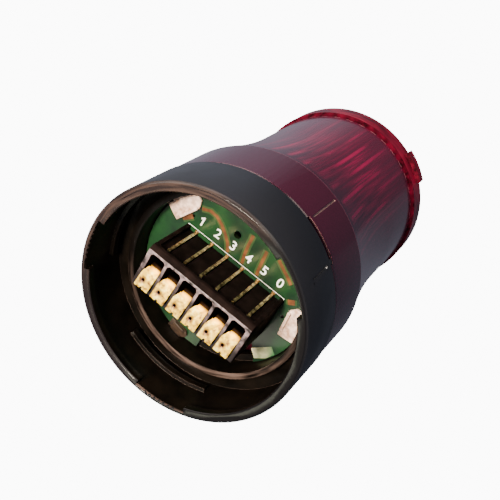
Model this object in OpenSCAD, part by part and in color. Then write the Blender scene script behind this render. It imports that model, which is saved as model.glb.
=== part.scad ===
// Strobe light module for a stackable signal tower.
// The mouth of the collar is at z = 0 and the lens points up, along +Z.
// The contact row runs along X, with the digit side of the board at -Y.

/* [Collar] */
// Outer diameter of the collar
collar_d = 63; // [60:0.5:68]
// Height of the collar, from the mouth rim to the lens joint
collar_h = 18; // [17:0.5:22]
// Wall of the collar round the mouth
collar_wall = 1.5; // [1.2:0.1:2]
// Thickness of the floor between the mouth and the lens
floor_t = 2.5; // [2:0.1:3]
// Height of the ring wall that stands on the floor round the board
ring_h = 2; // [1:0.1:4]
// Thickness of that ring wall
ring_wall = 1.7; // [1.2:0.1:2.2]
// Height of the neck above its seal
neck_rim = 1.1; // [0.8:0.1:4]

/* [Mouth bayonet] */
// Radial depth of the lips inside the mouth rim
lip_depth = 1.2; // [0.8:0.1:1.6]
// Height of the lips
lip_h = 2.4; // [1.6:0.1:3.2]
// Angle of each gap between the lips
gap_angle = 28.5; // [24:0.5:32]
// Distance of the stop ribs from the mouth rim
rib_z = 10.7; // [6:0.1:11]
// Height of the stop ribs
rib_h = 2; // [1:0.1:2.5]

/* [Lens] */
// Height of the smooth band, from the joint to the crease
band_h = 18; // [14:0.5:22]
// Overall height of the lens
lens_h = 83; // [78:0.5:95]
// Outer diameter of the straight body
body_d = 54.6; // [53:0.2:57]
// Height of the taper above the crease
taper_h = 36; // [28:0.5:40]
// Wall of the lens
lens_wall = 2; // [1.6:0.1:2.4]
// Number of prism ribs on the inside
prism_count = 40; // [24:1:48]
// Radial height of a prism rib
prism_h = 0.7; // [0.4:0.1:1]
// Angle that a prism rib covers
prism_angle = 3; // [2:0.25:4]
// Radial step of the crown over the straight body
crown_step = 1; // [0.6:0.1:1.6]
// Height of the crown
crown_h = 8.2; // [6:0.1:9]
// Radial height of the crown lugs
crown_lug = 1.4; // [0.8:0.1:1.6]
// Height of the crown lugs
crown_lug_h = 3.2; // [2.4:0.1:4]
// Turn of the lens between locked and free
twist_angle = 21; // [16:0.5:24]

/* [Board] */
// Radial distance of the board's edge from the outside of the collar
board_margin = 7.5; // [7:0.1:8.5]
// Thickness of the main board
board_t = 1.6; // [1.2:0.1:2]
// Distance of the board from the lens joint
board_rise = 1.5; // [1:0.1:2]
// Tangential width of the two side clips
clip_w = 9.6; // [7:0.1:11]
// Radial reach of the two side clips over the board
clip_reach = 5.2; // [4:0.1:6]
// Tangential width of the rear clip
rear_w = 6; // [4.5:0.1:8]
// Radial reach of the rear clip over the board
rear_reach = 3; // [2.4:0.1:4]
// Sheet thickness of a board clip
clip_t = 0.8; // [0.5:0.1:1]

/* [Contacts] */
// Pitch of the contact row
pitch = 5.08; // [4.8:0.01:5.4]
// Distance of the block's open face from the mouth rim
block_inset = 2; // [1.6:0.1:3]
// Depth of the contact block across the row
block_d = 12.4; // [11.5:0.1:13]
// Thickness of the walls between the contacts
partition = 0.8; // [0.6:0.05:1]
// Thickness of the two end walls of the block
block_end = 1.2; // [1:0.1:1.6]
// Sheet thickness of a spring contact
contact_t = 0.4; // [0.3:0.05:0.5]
// Gap at each side of a contact's tab in its cell
tab_gap = 0.1; // [0.1:0.05:0.4]
// Distance that the tip of a tab stays inside the mouth
tab_inset = 0.3; // [0.2:0.1:1]

/* [Inner frame] */
// Depth of the contact plate below the top of the crown
plate_inset = 5.2; // [4.8:0.1:7]
// Thickness of the contact plate
plate_t = 2; // [1.6:0.1:3]
// Thickness of the two posts
post_t = 3.6; // [3:0.1:4]
// Width of the two posts
post_w = 15; // [14.5:0.1:16]
// Thickness of a line bar
bar_t = 0.8; // [0.5:0.1:1]
// Width of a line bar
bar_w = 2; // [1.4:0.1:2.4]
// Height of the tube board above the main board
deck_h = 25; // [25:0.5:29]

/* [Flash circuit] */
// Diameter of the glass of the flash tube
tube_d = 6; // [5:0.1:7]
// Distance between the two legs of the flash tube
tube_span = 16; // [14:0.5:18]
// Height of the straight legs of the flash tube
tube_leg = 24; // [16:0.5:26]
// Diameter of the storage capacitor
capacitor_d = 12; // [10:0.5:13]
// Height of the storage capacitor
capacitor_h = 21; // [14:0.5:23]
// Length of the transformer along the contact row
core_w = 12.4; // [11:0.1:13.6]
// Height of the transformer
core_h = 15; // [12:0.5:20]

/* [Hidden] */
$fn = 96;

// Clearances: between the lens and the fixed parts, and between fitted parts
run_clear = 0.4;
joint_clear = 0.3;
seat_clear = 0.1;
// How far a cutter passes the faces that it cuts, and a lug reaches into its wall
over = 1;
root = 0.5;

// Collar
collar_r = collar_d / 2;
bore_r = collar_r - collar_wall;
lip_r = bore_r - lip_depth;
floor_z = collar_h - floor_t;
board_r = collar_r - board_margin;
well_r = board_r + joint_clear;
ring_r = well_r + ring_wall;
ring_z = floor_z - ring_h;
board_z = collar_h + board_rise;
board_top = board_z + board_t;
seat_lap = 1.5;
seat_r = board_r - seat_lap;
seat_t = 1.8;
edge = 0.6;
gaps = [-51.5, 77.8, 172.5];
gap_turns = [for (i = [0 : 2]) (i < 2 ? gaps[i + 1] : gaps[0] + 360) - gaps[i]];
rib_lead = 22;

// Lens
band_step = 0.3;
band_r = collar_r - band_step;
band_in = band_r - lens_wall;
lens_z = collar_h + joint_clear;
crease_z = collar_h + band_h;
straight_z = crease_z + taper_h;
lens_top = collar_h + joint_clear + lens_h;
body_r = body_d / 2;
body_in = body_r - lens_wall;
crown_r = body_r + crown_step;
crown_z = lens_top - crown_h;
arc_steps = 8;
// Crown lugs stand beside the gaps of the mouth and pass them after a small turn
crown_turn = -4.5;
crown_lug_angle = 20;

// Lens bayonet: lugs on the neck hold lugs inside the lens
lock_depth = 1.6;
neck_r = band_in - lock_depth;
lock_lug_h = 2;
lock_lugs = [30, 150, 270];
lock_lug_angle = 15;
lens_lug_z = lens_z + run_clear;
neck_lug_z = lens_lug_z + lock_lug_h + run_clear;
seal_r = 1.1;
seal_gap = 0.5;
seal_z = neck_lug_z + lock_lug_h + seal_gap + seal_r;
groove_depth = 1;
groove_r = neck_r - groove_depth;
neck_top = seal_z + seal_r + seat_clear + neck_rim;

// Marks on the outside, and the key that stops the turn
key_angle = -50;
key_w = 2.5;
key_h = 1.3;
key_clear = 0.15;
lens_mark = key_angle - twist_angle;
mark_w = 0.5;
mark_depth = 0.3;
mark_margin = 1;
// Ends of the collar mark, as shares of the collar's height
mark_from = 0.38;
mark_to = 0.86;

// Contact block
digits = [1, 2, 3, 4, 5, 0];
contact_count = len(digits);
cavity_w = pitch - partition;
comb_w = contact_count * pitch - partition;
row_w = comb_w + 2 * block_end;
block_y0 = -block_d / 2;
block_y1 = block_d / 2;
rear_wall = 1.1;
// Bar on the digit side: a flat top, a slope, and the recess for the legs under it
bar_flat = 0.6;
bar_slope = 1;
bar_drop = 1.4;
bar_h = 2.5;
recess_y = block_y0 + bar_slope;
cell_y = recess_y + bar_flat;
cell_cut = 0.6;

// Inner frame
post_x = sqrt(pow(seat_r - run_clear, 2) - pow(post_w / 2, 2)) - seat_clear;
post_in = post_x - post_t;
plate_top = lens_top - plate_inset;
plate_z = plate_top - plate_t;
plate_r = body_in - prism_h - run_clear;
prism_stop = 1.2;
prism_lift = 0.6;
prism_top = plate_z - prism_stop;
bar_step = post_w / 3;
bar_shift = -1;
pad_t = 0.6;
pad_w = 3.6;
pad_y = 7;
tenon_t = 1.6;
tenon_shoulder = 0.4;
tenon_x = post_in + tenon_shoulder + tenon_t / 2;
tenon_w = 4;
tenon_y = 1.5;

// Flash circuit, on the lens side of the main board and on the tube board
deck_z = board_top + deck_h;
deck_t = 1.6;
deck_r = post_in - run_clear;
spacer_d = 5;
spacer_bore = 2.5;
spacer_inset = 3;
spacer_r = deck_r - spacer_inset;
spacer_angles = [82, 215, 325];
socket_h = 4;
socket_floor = 1.4;
socket_w = tube_d + 4;
bobbin_clear = 0.3;

function polar(r, a) = [r * cos(a), r * sin(a)];
function digit_x(i) = (i - (contact_count - 1) / 2) * pitch;
function digit_index(d) = search(d, digits)[0];
function bar_row(i) = (1 - i) * bar_step + bar_shift;

// Radius of the taper at height z, on an arc that ends upright at straight_z
function taper_r(z) = body_r + (band_r - body_r) * pow((straight_z - z) / taper_h, 2);
function taper_points(inset, lift = 0) = [for (i = [0 : arc_steps])
    let (z = crease_z + (i == 0 ? lift : taper_h * i / arc_steps)) [taper_r(z) - inset, z]];

// Ring sector of the 2D profile given as children, from angle a over a turn
module sector(a, turn) {
    rotate([0, 0, a]) rotate_extrude(angle = turn) children();
}

module ring_profile(r0, r1, z0, z1) {
    translate([r0, z0]) square([r1 - r0, z1 - z0]);
}

// Upright box on a radius at angle a, from r0 to r1, as wide as w
module radial_box(a, r0, r1, w, z0, z1) {
    rotate([0, 0, a]) translate([r0, -w / 2, z0]) cube([r1 - r0, w, z1 - z0]);
}

module collar_shell() {
    rotate_extrude() polygon([
        [bore_r, edge], [bore_r + edge / 2, 0], [collar_r - edge, 0], [collar_r, edge],
        [collar_r, collar_h - edge], [collar_r - edge, collar_h], [neck_r, collar_h],
        [neck_r, seal_z - seal_r - seat_clear], [groove_r, seal_z - seal_r - seat_clear],
        [groove_r, seal_z + seal_r + seat_clear], [neck_r, seal_z + seal_r + seat_clear],
        [neck_r, neck_top - edge], [neck_r - edge, neck_top], [well_r, neck_top],
        [well_r, board_top + seat_t], [seat_r, board_top + seat_t], [seat_r, board_top],
        [well_r, board_top], [well_r, ring_z], [ring_r, ring_z], [ring_r, floor_z],
        [bore_r, floor_z]]);
}

// Lips between the gaps, each with a lead-in at the mouth side
module mouth_lips() {
    for (i = [0 : 2])
        sector(gaps[i] + gap_angle / 2, gap_turns[i] - gap_angle)
            polygon([[lip_r, edge / 2], [lip_r + edge / 2, 0], [bore_r + edge, 0],
                [bore_r + edge, lip_h + edge], [bore_r, lip_h + edge], [lip_r, lip_h]]);
}

// Stop ribs deep in the mouth, which start at each gap
module stop_ribs() {
    for (g = gaps)
        sector(g - gap_angle / 2, gap_angle + rib_lead)
            ring_profile(lip_r + seat_clear, bore_r + edge, rib_z, rib_z + rib_h);
}

module collar() {
    color("#2a2c30") difference() {
        union() {
            collar_shell();
            mouth_lips();
            stop_ribs();
            for (a = lock_lugs)
                sector(a - lock_lug_angle / 2, lock_lug_angle)
                    ring_profile(neck_r - root, band_in - run_clear,
                        neck_lug_z, neck_lug_z + lock_lug_h);
            sector(key_angle - key_w / 2, key_w)
                ring_profile(band_in, band_r - seat_clear, collar_h - edge, collar_h + key_h);
        }
        for (i = [0 : 2])
            radial_box(clip_angles[i], well_r - over, well_r + clip_tongue + seat_clear,
                clip_sizes[i][0] * tongue_share + 2 * seat_clear, board_z - clip_t - seat_clear, board_z);
        radial_box(key_angle, collar_r - mark_depth, collar_r + over, mark_w,
            collar_h * mark_from, collar_h * mark_to);
    }
}

module lens_outline() {
    polygon(concat(
        [[0, lens_z], [band_r - edge / 2, lens_z], [band_r, lens_z + edge / 2]],
        taper_points(0),
        [[body_r, crown_z - edge], [crown_r - edge, crown_z], [crown_r, crown_z + edge],
            [crown_r, lens_top - edge], [crown_r - edge, lens_top], [0, lens_top]]));
}

module lens_hollow() {
    polygon(concat(
        [[0, lens_z - over], [band_in, lens_z - over]],
        taper_points(lens_wall),
        [[body_in, lens_top + over], [0, lens_top + over]]));
}

// One prism rib, which follows the inner wall from above the crease to below the plate
module prism_profile() {
    inner = taper_points(lens_wall + prism_h, prism_lift);
    outer = taper_points(lens_wall / 2, prism_lift);
    polygon(concat(inner, [[body_in - prism_h, prism_top - prism_h], [body_in, prism_top]],
        [[body_r - lens_wall / 2, prism_top]],
        [for (i = [arc_steps : -1 : 0]) outer[i]]));
}

module lens() {
    color("#7a1530") difference() {
        union() {
            difference() {
                rotate_extrude() lens_outline();
                rotate_extrude() lens_hollow();
            }
            for (i = [0 : prism_count - 1])
                sector((i + 0.5) * 360 / prism_count - prism_angle / 2, prism_angle)
                    prism_profile();
            for (a = lock_lugs)
                sector(a - lock_lug_angle / 2, lock_lug_angle)
                    ring_profile(neck_r + run_clear, band_in + root,
                        lens_lug_z, lens_lug_z + lock_lug_h);
            for (g = gaps)
                sector(g + crown_turn - crown_lug_angle / 2, crown_lug_angle)
                    ring_profile(crown_r - root, crown_r + crown_lug,
                        lens_top - edge - crown_lug_h, lens_top - edge);
        }
        sector(key_angle - key_w / 2 - twist_angle - key_clear, key_w + twist_angle + 2 * key_clear)
            ring_profile(band_in - over, band_r + over, lens_z - over, collar_h + key_h + joint_clear);
        radial_box(lens_mark, band_r - mark_depth, band_r + over, mark_w,
            lens_z + key_h + mark_margin, crease_z - mark_margin);
    }
}

module seal_ring() {
    color("#1c1c1c") rotate_extrude()
        translate([groove_r + seal_r + seat_clear, seal_z]) circle(seal_r, $fn = 32);
}

// Board, with the corner cut away beside the contact block
cut_corner = [14, 8.9];
cut_angle = 55;
cut_side = [3.2, 13.2];
board_hole = [-3.1, -12.8];
board_hole_d = 2.1;
clip_hole_d = 1;
// Left, right and rear clip: angle, then width and reach, then the end that has cut corners
clip_angles = [-150, -6, 99];
clip_sizes = [[clip_w, clip_reach], [clip_w, clip_reach], [rear_w, rear_reach]];
clip_ends = [1, -1, -1];
cut_share = 0.3;
clip_tongue = 1;
tongue_share = 0.6;
fold_h = 0.7;
fold_inset = 0.3;

module main_board() {
    color("#2f7a45") difference() {
        translate([0, 0, board_z]) cylinder(r = board_r, h = board_t);
        translate([0, 0, board_z - over]) linear_extrude(board_t + 2 * over)
            polygon([cut_corner, cut_corner + polar(board_r, cut_angle),
                cut_side + [0, board_r], cut_side]);
        translate([board_hole[0], board_hole[1], board_z - over])
            cylinder(d = board_hole_d, h = board_t + 2 * over);
        for (i = [0, 1])
            translate(concat(polar(well_r - clip_reach - clip_hole_d, clip_angles[i]), board_z - over))
                cylinder(d = clip_hole_d, h = board_t + 2 * over);
    }
}

// Comb of cells, with a recess for the legs and a slot behind each leg on the digit side
module contact_block() {
    half = cavity_w / 2;
    color("#1e1e20") difference() {
        along_row(row_w, 0) polygon([[recess_y, block_inset], [block_y1, block_inset],
            [block_y1, board_z], [block_y0, board_z], [block_y0, block_inset + bar_drop]]);
        translate([-comb_w / 2, block_y0 - over, block_inset + bar_h])
            cube([comb_w, bar_slope + over, board_z - block_inset]);
        for (i = [0 : contact_count - 1]) translate([digit_x(i), 0, 0]) {
            translate([0, 0, block_inset - over])
                linear_extrude(board_z - block_inset + 2 * over)
                    polygon([[-half, block_y1 - rear_wall], [-half, cell_y + cell_cut],
                        [cell_cut - half, cell_y], [half - cell_cut, cell_y],
                        [half, cell_y + cell_cut], [half, block_y1 - rear_wall]]);
            translate([-leg_w / 2 - seat_clear, recess_y - over, step_z - seat_clear])
                cube([leg_w + 2 * seat_clear, bar_flat + 2 * over, board_z - step_z + over]);
        }
    }
}

// Spring contact: a leg in the recess, a step through the slot, a neck and a slanting tab
leg_w = 0.8;
leg_y = recess_y - seat_clear - contact_t;
step_drop = 1.5;
step_z = block_inset + bar_h + step_drop;
tab_w = cavity_w - 2 * tab_gap;
neck_w = tab_w * 0.72;
neck_x = (tab_w - neck_w) / 2;
neck_back = 1.9;
neck_y = cell_y + neck_back;
bend_r = 1.2;
bend_steps = 6;
tip_back = 1;
tab_tip_y = block_y1 - tip_back;
root_depth = 0.3;
tab_root_z = block_inset + root_depth;
bend_y = neck_y + bend_r;
tab_slope = atan2(tab_root_z - tab_inset, tab_tip_y - bend_y);
function bend_point(a, r) = [bend_y - r * cos(a), tab_root_z + bend_r - r * sin(a)];
bend_end = 90 - tab_slope;
tab_len = (tab_tip_y - bend_y) / cos(tab_slope);
shoulder = tab_len * 0.13;
shoulder_cut = [tab_w * 0.2, tab_len * 0.3];
// Small hole and notch near the tip of a tab
tab_hole_d = 0.8;
tab_hole = [-tab_w * 0.15, tab_len * 0.68];
notch_w = 0.7;
notch_h = 0.5;
// Overlap of the stretches that one contact is drawn from
weld = 0.1;

module contact_leg() {
    polygon([[leg_y, board_z], [leg_y, step_z], [neck_y + contact_t, step_z],
        [neck_y + contact_t, step_z + contact_t], [leg_y + contact_t, step_z + contact_t],
        [leg_y + contact_t, board_z]]);
}

module contact_neck() {
    start = tab_root_z + bend_r - weld;
    translate([neck_y, start]) square([contact_t, step_z + contact_t - start]);
}

module contact_bend() {
    polygon(concat(
        [for (i = [0 : bend_steps]) bend_point(bend_end * i / bend_steps, bend_r)],
        [for (i = [bend_steps : -1 : 0]) bend_point(bend_end * i / bend_steps, bend_r - contact_t)]));
}

// Outline of the flat tab, from the end of the bend to the tip, with its hole and notch
module tab_outline() {
    side = tab_w / 2;
    corner = neck_x - neck_w / 2;
    difference() {
        polygon([[corner, -weld], [side, -weld], [side, tab_len], [-side, tab_len],
            [-side, shoulder + shoulder_cut[1]], [shoulder_cut[0] - side, shoulder], [corner, shoulder]]);
        translate(tab_hole) circle(d = tab_hole_d, $fn = 24);
        translate([-notch_w / 2, tab_len - notch_h]) square([notch_w, notch_h + over]);
    }
}

module along_row(w, x) {
    translate([x - w / 2, 0, 0]) rotate([90, 0, 90]) linear_extrude(w) children();
}

module spring_contact(d) {
    tip = bend_point(bend_end, bend_r);
    color("#f0deb0") translate([digit_x(digit_index(d)), 0, 0]) union() {
        along_row(leg_w, 0) contact_leg();
        along_row(neck_w, neck_x) {
            contact_neck();
            contact_bend();
        }
        translate([0, tip[0], tip[1]]) rotate([-tab_slope, 0, 0])
            linear_extrude(contact_t) tab_outline();
    }
}

// Bent clip that lies on the board, with its tongue in a pocket of the well
module board_clip(i) {
    a = clip_angles[i];
    w = clip_sizes[i][0];
    cut = clip_sizes[i][1] * cut_share;
    inner = well_r - clip_sizes[i][1];
    outer = sqrt(pow(well_r - seat_clear, 2) - pow(w / 2, 2));
    side = clip_ends[i] * w / 2;
    start = side - clip_ends[i] * cut;
    color("#d9c9c4") union() {
        rotate([0, 0, a]) translate([0, 0, board_z - clip_t]) linear_extrude(clip_t)
            polygon([[inner, -side], [outer, -side], [outer, start], [outer - cut, side],
                [inner + cut, side], [inner, start]]);
        radial_box(a, outer - clip_t, well_r + clip_tongue, w * tongue_share, board_z - clip_t, board_z);
        radial_box(a, inner, inner + clip_t, w - 2 * (cut + fold_inset),
            board_z - clip_t - fold_h, board_z - clip_t / 2);
    }
}

// Upright post; side is -1 for the left one and 1 for the right one
module post(side) {
    color("#e8e6df") difference() {
        union() {
            translate([side < 0 ? -post_x : post_in, -post_w / 2, board_top])
                cube([post_t, post_w, plate_z - board_top]);
            translate([side * tenon_x - tenon_t / 2, tenon_y - tenon_w / 2, plate_z - root])
                cube([tenon_t, tenon_w, plate_t + root]);
        }
        for (i = [0 : 2]) bar_leg(side, i, over);
    }
}

module left_post() { post(-1); }
module right_post() { post(1); }

// Upright leg of a line bar in its groove; extra lengthens the groove past both ends
module bar_leg(side, i, extra) {
    y = bar_row(i);
    translate([side < 0 ? -post_x - extra : post_x - bar_t, y - bar_w / 2, board_top - extra])
        cube([bar_t + extra, bar_w, plate_top - board_top + 2 * extra]);
}

module contact_plate() {
    color("#1e1e20") difference() {
        translate([0, 0, plate_z]) cylinder(r = plate_r, h = plate_t);
        for (side = [-1, 1]) {
            for (i = [0 : 2]) {
                y = bar_row(i);
                translate([side * (post_x - bar_t / 2) - bar_t / 2 - seat_clear,
                    y - bar_w / 2 - seat_clear, plate_z - over])
                    cube([bar_t + 2 * seat_clear, bar_w + 2 * seat_clear, plate_t + 2 * over]);
            }
            translate([side * tenon_x - tenon_t / 2 - seat_clear,
                tenon_y - tenon_w / 2 - seat_clear, plate_z - over])
                cube([tenon_t + 2 * seat_clear, tenon_w + 2 * seat_clear, plate_t + 2 * over]);
        }
    }
}

// Line bar: up its post, through the plate and across to its pad
module line_bar(d) {
    n = digit_index(d);
    side = n < 3 ? -1 : 1;
    i = n < 3 ? n : contact_count - 1 - n;
    y = bar_row(i);
    x = digit_x(n);
    run = post_x - abs(x) + bar_w / 2;
    color("#c9a24a") union() {
        bar_leg(side, i, 0);
        translate([side < 0 ? -post_x : post_x - run, y - bar_w / 2, plate_top])
            cube([run, bar_w, pad_t]);
        translate([x - pad_w / 2, y - bar_w / 2, plate_top]) cube([pad_w, pad_y - y + bar_w / 2, pad_t]);
    }
}

module tube_board() {
    color("#2f7a45") difference() {
        translate([0, 0, deck_z]) cylinder(r = deck_r, h = deck_t);
        for (a = spacer_angles)
            translate(concat(polar(spacer_r, a), deck_z - over))
                cylinder(d = spacer_bore, h = deck_t + 2 * over);
    }
}

module tube_spacers() {
    color("#c8c8c8") for (a = spacer_angles)
        translate(concat(polar(spacer_r, a), board_top)) difference() {
            cylinder(d = spacer_d, h = deck_h);
            translate([0, 0, -over]) cylinder(d = spacer_bore, h = deck_h + 2 * over);
        }
}

module tube_socket() {
    color("#efece4") difference() {
        translate([-tube_span / 2 - socket_w / 2, -socket_w / 2, deck_z + deck_t])
            cube([tube_span + socket_w, socket_w, socket_h]);
        for (side = [-1, 1])
            translate([side * tube_span / 2, 0, deck_z + deck_t + socket_floor])
                cylinder(d = tube_d + 2 * seat_clear, h = socket_h);
    }
}

// Glass tube bent to a U, with its ends in the socket
module flash_tube() {
    foot = deck_z + deck_t + socket_floor;
    color("#dfe8ea") union() {
        for (side = [-1, 1])
            translate([side * tube_span / 2, 0, foot]) cylinder(d = tube_d, h = tube_leg);
        translate([0, 0, foot + tube_leg]) rotate([90, 0, 0])
            rotate_extrude(angle = 180) translate([tube_span / 2, 0]) circle(d = tube_d);
    }
}

// Small upright coil that fires the tube, wound between two flanges
coil_at = [4.5, -12.5];
coil_d = 6.4;
coil_h = 11;
flange_d = 8;
flange_t = 1.2;

module trigger_coil() {
    color("#8c2f1c") translate([coil_at[0], coil_at[1], board_top]) union() {
        cylinder(d = coil_d, h = coil_h);
        for (z = [0, coil_h - flange_t]) translate([0, 0, z]) cylinder(d = flange_d, h = flange_t);
    }
}

// Upright capacitor with a rolled bead near its foot
capacitor_gap = 0.8;
capacitor_y = 4;
bead_z = 2.3;
bead_depth = 0.5;

module storage_capacitor() {
    r = capacitor_d / 2;
    color("#26314f") translate([-r - capacitor_gap, capacitor_y, board_top]) rotate_extrude()
        polygon([[0, 0], [r - edge, 0], [r, edge], [r, bead_z - bead_depth], [r - bead_depth, bead_z],
            [r, bead_z + bead_depth], [r, capacitor_h - edge], [r - edge, capacitor_h], [0, capacitor_h]]);
}

// Core of two E halves round a wound bobbin
core_d = 8.4;
core_at = [0.6, -2];
core_leg = 3.4;
core_yoke = 3;
winding_out = 1.2;

module transformer_core() {
    window = core_w / 2 - core_leg;
    color("#3a3a3c") translate([core_at[0], core_at[1], board_top]) difference() {
        cube([core_w, core_d, core_h]);
        for (x = [core_leg / 2, core_w / 2 + core_leg / 2])
            translate([x, -over, core_yoke])
                cube([window, core_d + 2 * over, core_h - 2 * core_yoke]);
    }
}

module transformer_winding() {
    window_h = core_h - 2 * core_yoke;
    color("#c98a2b") translate([core_at[0], core_at[1], board_top + core_yoke]) difference() {
        translate([core_leg / 2 + bobbin_clear, -winding_out, bobbin_clear])
            cube([core_w - core_leg - 2 * bobbin_clear, core_d + 2 * winding_out,
                window_h - 2 * bobbin_clear]);
        translate([core_w / 2 - core_leg / 2 - bobbin_clear, -bobbin_clear, -over])
            cube([core_leg + 2 * bobbin_clear, core_d + 2 * bobbin_clear, window_h + 2 * over]);
    }
}

// Upright power transistor with its metal tab behind, on three pins
transistor_gap = 1.2;
transistor_at = polar(seat_r - transistor_gap, -134.6);
transistor_size = [10, 4.4, 9];
transistor_tab = [10, 1.3, 6];
pin_size = [0.8, 0.6, 3];
pin_pitch = 2.54;
pin_y = 2;

module power_transistor() {
    body_z = pin_size[2];
    color("#2b2b2d") translate([transistor_at[0], transistor_at[1], board_top]) union() {
        translate([0, 0, body_z]) cube(transistor_size);
        translate([0, 0, body_z + transistor_size[2] - root]) cube(transistor_tab + [0, 0, root]);
        for (i = [-1 : 1])
            translate([transistor_size[0] / 2 + pin_pitch * i - pin_size[0] / 2, pin_y, 0])
                cube(pin_size + [0, 0, root]);
    }
}

// Two lying resistors, each on the wire that runs through it
resistor_x = -0.6;
resistor_rows = [-4.6, -7.3];
resistor_d = 2.4;
resistor_len = 6.4;
wire_d = 0.7;
wire_len = 9.6;
wire_z = 1.6;

module resistor(y) {
    translate([resistor_x, y, board_top]) union() {
        translate([-resistor_len / 2, 0, wire_z]) rotate([0, 90, 0])
            cylinder(d = resistor_d, h = resistor_len, $fn = 32);
        translate([-wire_len / 2, 0, wire_z]) rotate([0, 90, 0]) cylinder(d = wire_d, h = wire_len, $fn = 24);
        for (x = [-wire_len / 2, wire_len / 2])
            translate([x, 0, 0]) cylinder(d = wire_d, h = wire_z + wire_d / 2, $fn = 24);
    }
}

module resistors() {
    color("#c7b48c") for (y = resistor_rows) resistor(y);
}

collar();
lens();
seal_ring();
main_board();
contact_block();
spring_contact(1);  // spring_contact_1
spring_contact(2);  // spring_contact_2
spring_contact(3);  // spring_contact_3
spring_contact(4);  // spring_contact_4
spring_contact(5);  // spring_contact_5
spring_contact(0);  // spring_contact_0
board_clip(0);  // board_clip_left
board_clip(1);  // board_clip_right
board_clip(2);  // board_clip_rear
left_post();
right_post();
contact_plate();
line_bar(1);  // line_bar_1
line_bar(2);  // line_bar_2
line_bar(3);  // line_bar_3
line_bar(4);  // line_bar_4
line_bar(5);  // line_bar_5
line_bar(0);  // line_bar_0
tube_board();
tube_spacers();
tube_socket();
flash_tube();
trigger_coil();
storage_capacitor();
transformer_core();
transformer_winding();
power_transistor();
resistors();
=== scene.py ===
import math

import bmesh
import bpy
from mathutils import Matrix, Vector


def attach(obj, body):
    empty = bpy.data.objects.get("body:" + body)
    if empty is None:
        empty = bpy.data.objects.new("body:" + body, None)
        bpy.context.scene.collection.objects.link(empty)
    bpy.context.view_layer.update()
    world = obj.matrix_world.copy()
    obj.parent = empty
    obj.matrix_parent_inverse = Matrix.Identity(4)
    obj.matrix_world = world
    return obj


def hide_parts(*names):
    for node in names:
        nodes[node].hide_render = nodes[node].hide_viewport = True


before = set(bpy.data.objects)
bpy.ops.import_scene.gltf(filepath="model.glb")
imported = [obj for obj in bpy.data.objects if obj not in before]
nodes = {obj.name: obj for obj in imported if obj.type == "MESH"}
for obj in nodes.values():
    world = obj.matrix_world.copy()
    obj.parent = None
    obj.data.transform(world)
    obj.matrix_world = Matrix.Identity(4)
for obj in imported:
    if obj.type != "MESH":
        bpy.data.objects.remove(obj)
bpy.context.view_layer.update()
mm = 0.001
digits = "123450"
rowMiddle = (len(digits) - 1) / 2
mergeGap = 0.002  # millimetres within which points are joined
flatAngle = 1  # degrees up to which neighbouring faces count as one
sharpAngle = 28  # degrees from which an edge counts as sharp
print("frame loaded:", len(nodes), "CAD nodes")


def linear(hexCode):  # sRGB hex to the linear colour that sockets take
    parts = [int(hexCode[i:i + 2], 16) / 255 for i in (1, 3, 5)]
    return [p / 12.92 if p <= 0.04045 else ((p + 0.055) / 1.055) ** 2.4 for p in parts] + [1.0]


def perSize(sizeMm):  # texture scale for a pattern of this size in millimetres
    return 1 / (sizeMm * mm)


def addNode(owner, kind, inputs=None, **settings):  # one node with its settings and links; gives its outputs
    tree = owner.node_tree
    node = tree.nodes.new("ShaderNode" + kind)
    for key, value in settings.items():
        setattr(node, key, value)
    for key, value in (inputs or {}).items():
        if isinstance(value, bpy.types.NodeSocket):
            tree.links.new(value, node.inputs[key])
        else:
            node.inputs[key].default_value = linear(value) if isinstance(value, str) else value
    return node.outputs


def newMaterial(name, finish):
    material = bpy.data.materials.new(name)
    material.use_nodes = True
    shader = material.node_tree.nodes["Principled BSDF"]
    for key, value in finish.items():
        shader.inputs[key].default_value = linear(value) if isinstance(value, str) else value
    return material, shader


def feed(material, shader, links):  # link sockets into the shader
    for key, socket in links.items():
        material.node_tree.links.new(socket, shader.inputs[key])


def dress(material, *names):  # a CAD node keeps its mesh and gets this material
    for name in names:
        nodes[name].data.materials.clear()
        nodes[name].data.materials.append(material)


def newPiece(name, bm, material, body="base", stands=(), smoothAngle=35):
    mesh = bpy.data.meshes.new(name)
    bm.to_mesh(mesh)
    bm.free()
    mesh.shade_smooth()
    mesh.set_sharp_from_angle(angle=math.radians(smoothAngle))
    mesh.materials.append(material)
    obj = bpy.data.objects.new(name, mesh)
    bpy.context.scene.collection.objects.link(obj)
    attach(obj, body)
    if stands:
        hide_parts(*stands)
    return obj


def addFinish(obj, material, chosen):  # another material on the faces that the test picks
    obj.data.materials.append(material)
    for face in obj.data.polygons:
        spots = [obj.data.vertices[i].co / mm for i in face.vertices]
        pairs = [(spot.xy.length, spot.z) for spot in spots]
        radius, height = [sum(part) / len(spots) for part in zip(*pairs)]
        if chosen(radius, height, face):
            face.material_index = len(obj.data.materials) - 1


def mergedCopy(nodeName):  # copy of a CAD node's mesh with its loose triangles joined
    bm = bmesh.new()
    bm.from_mesh(nodes[nodeName].data)
    bmesh.ops.remove_doubles(bm, verts=bm.verts, dist=mergeGap * mm)
    bmesh.ops.dissolve_limit(bm, angle_limit=math.radians(flatAngle), verts=bm.verts, edges=bm.edges)
    return bm


def softEdged(nodeName, width, segments=2):  # copy of a CAD node with its sharp edges broken
    bm = mergedCopy(nodeName)
    sharp = [e for e in bm.edges if len(e.link_faces) == 2 and e.calc_face_angle() > math.radians(sharpAngle)]
    bmesh.ops.bevel(bm, geom=sharp, offset=width * mm, offset_type="OFFSET", segments=segments,
                    profile=0.5, affect="EDGES", clamp_overlap=True, material=-1)
    return bm


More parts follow.
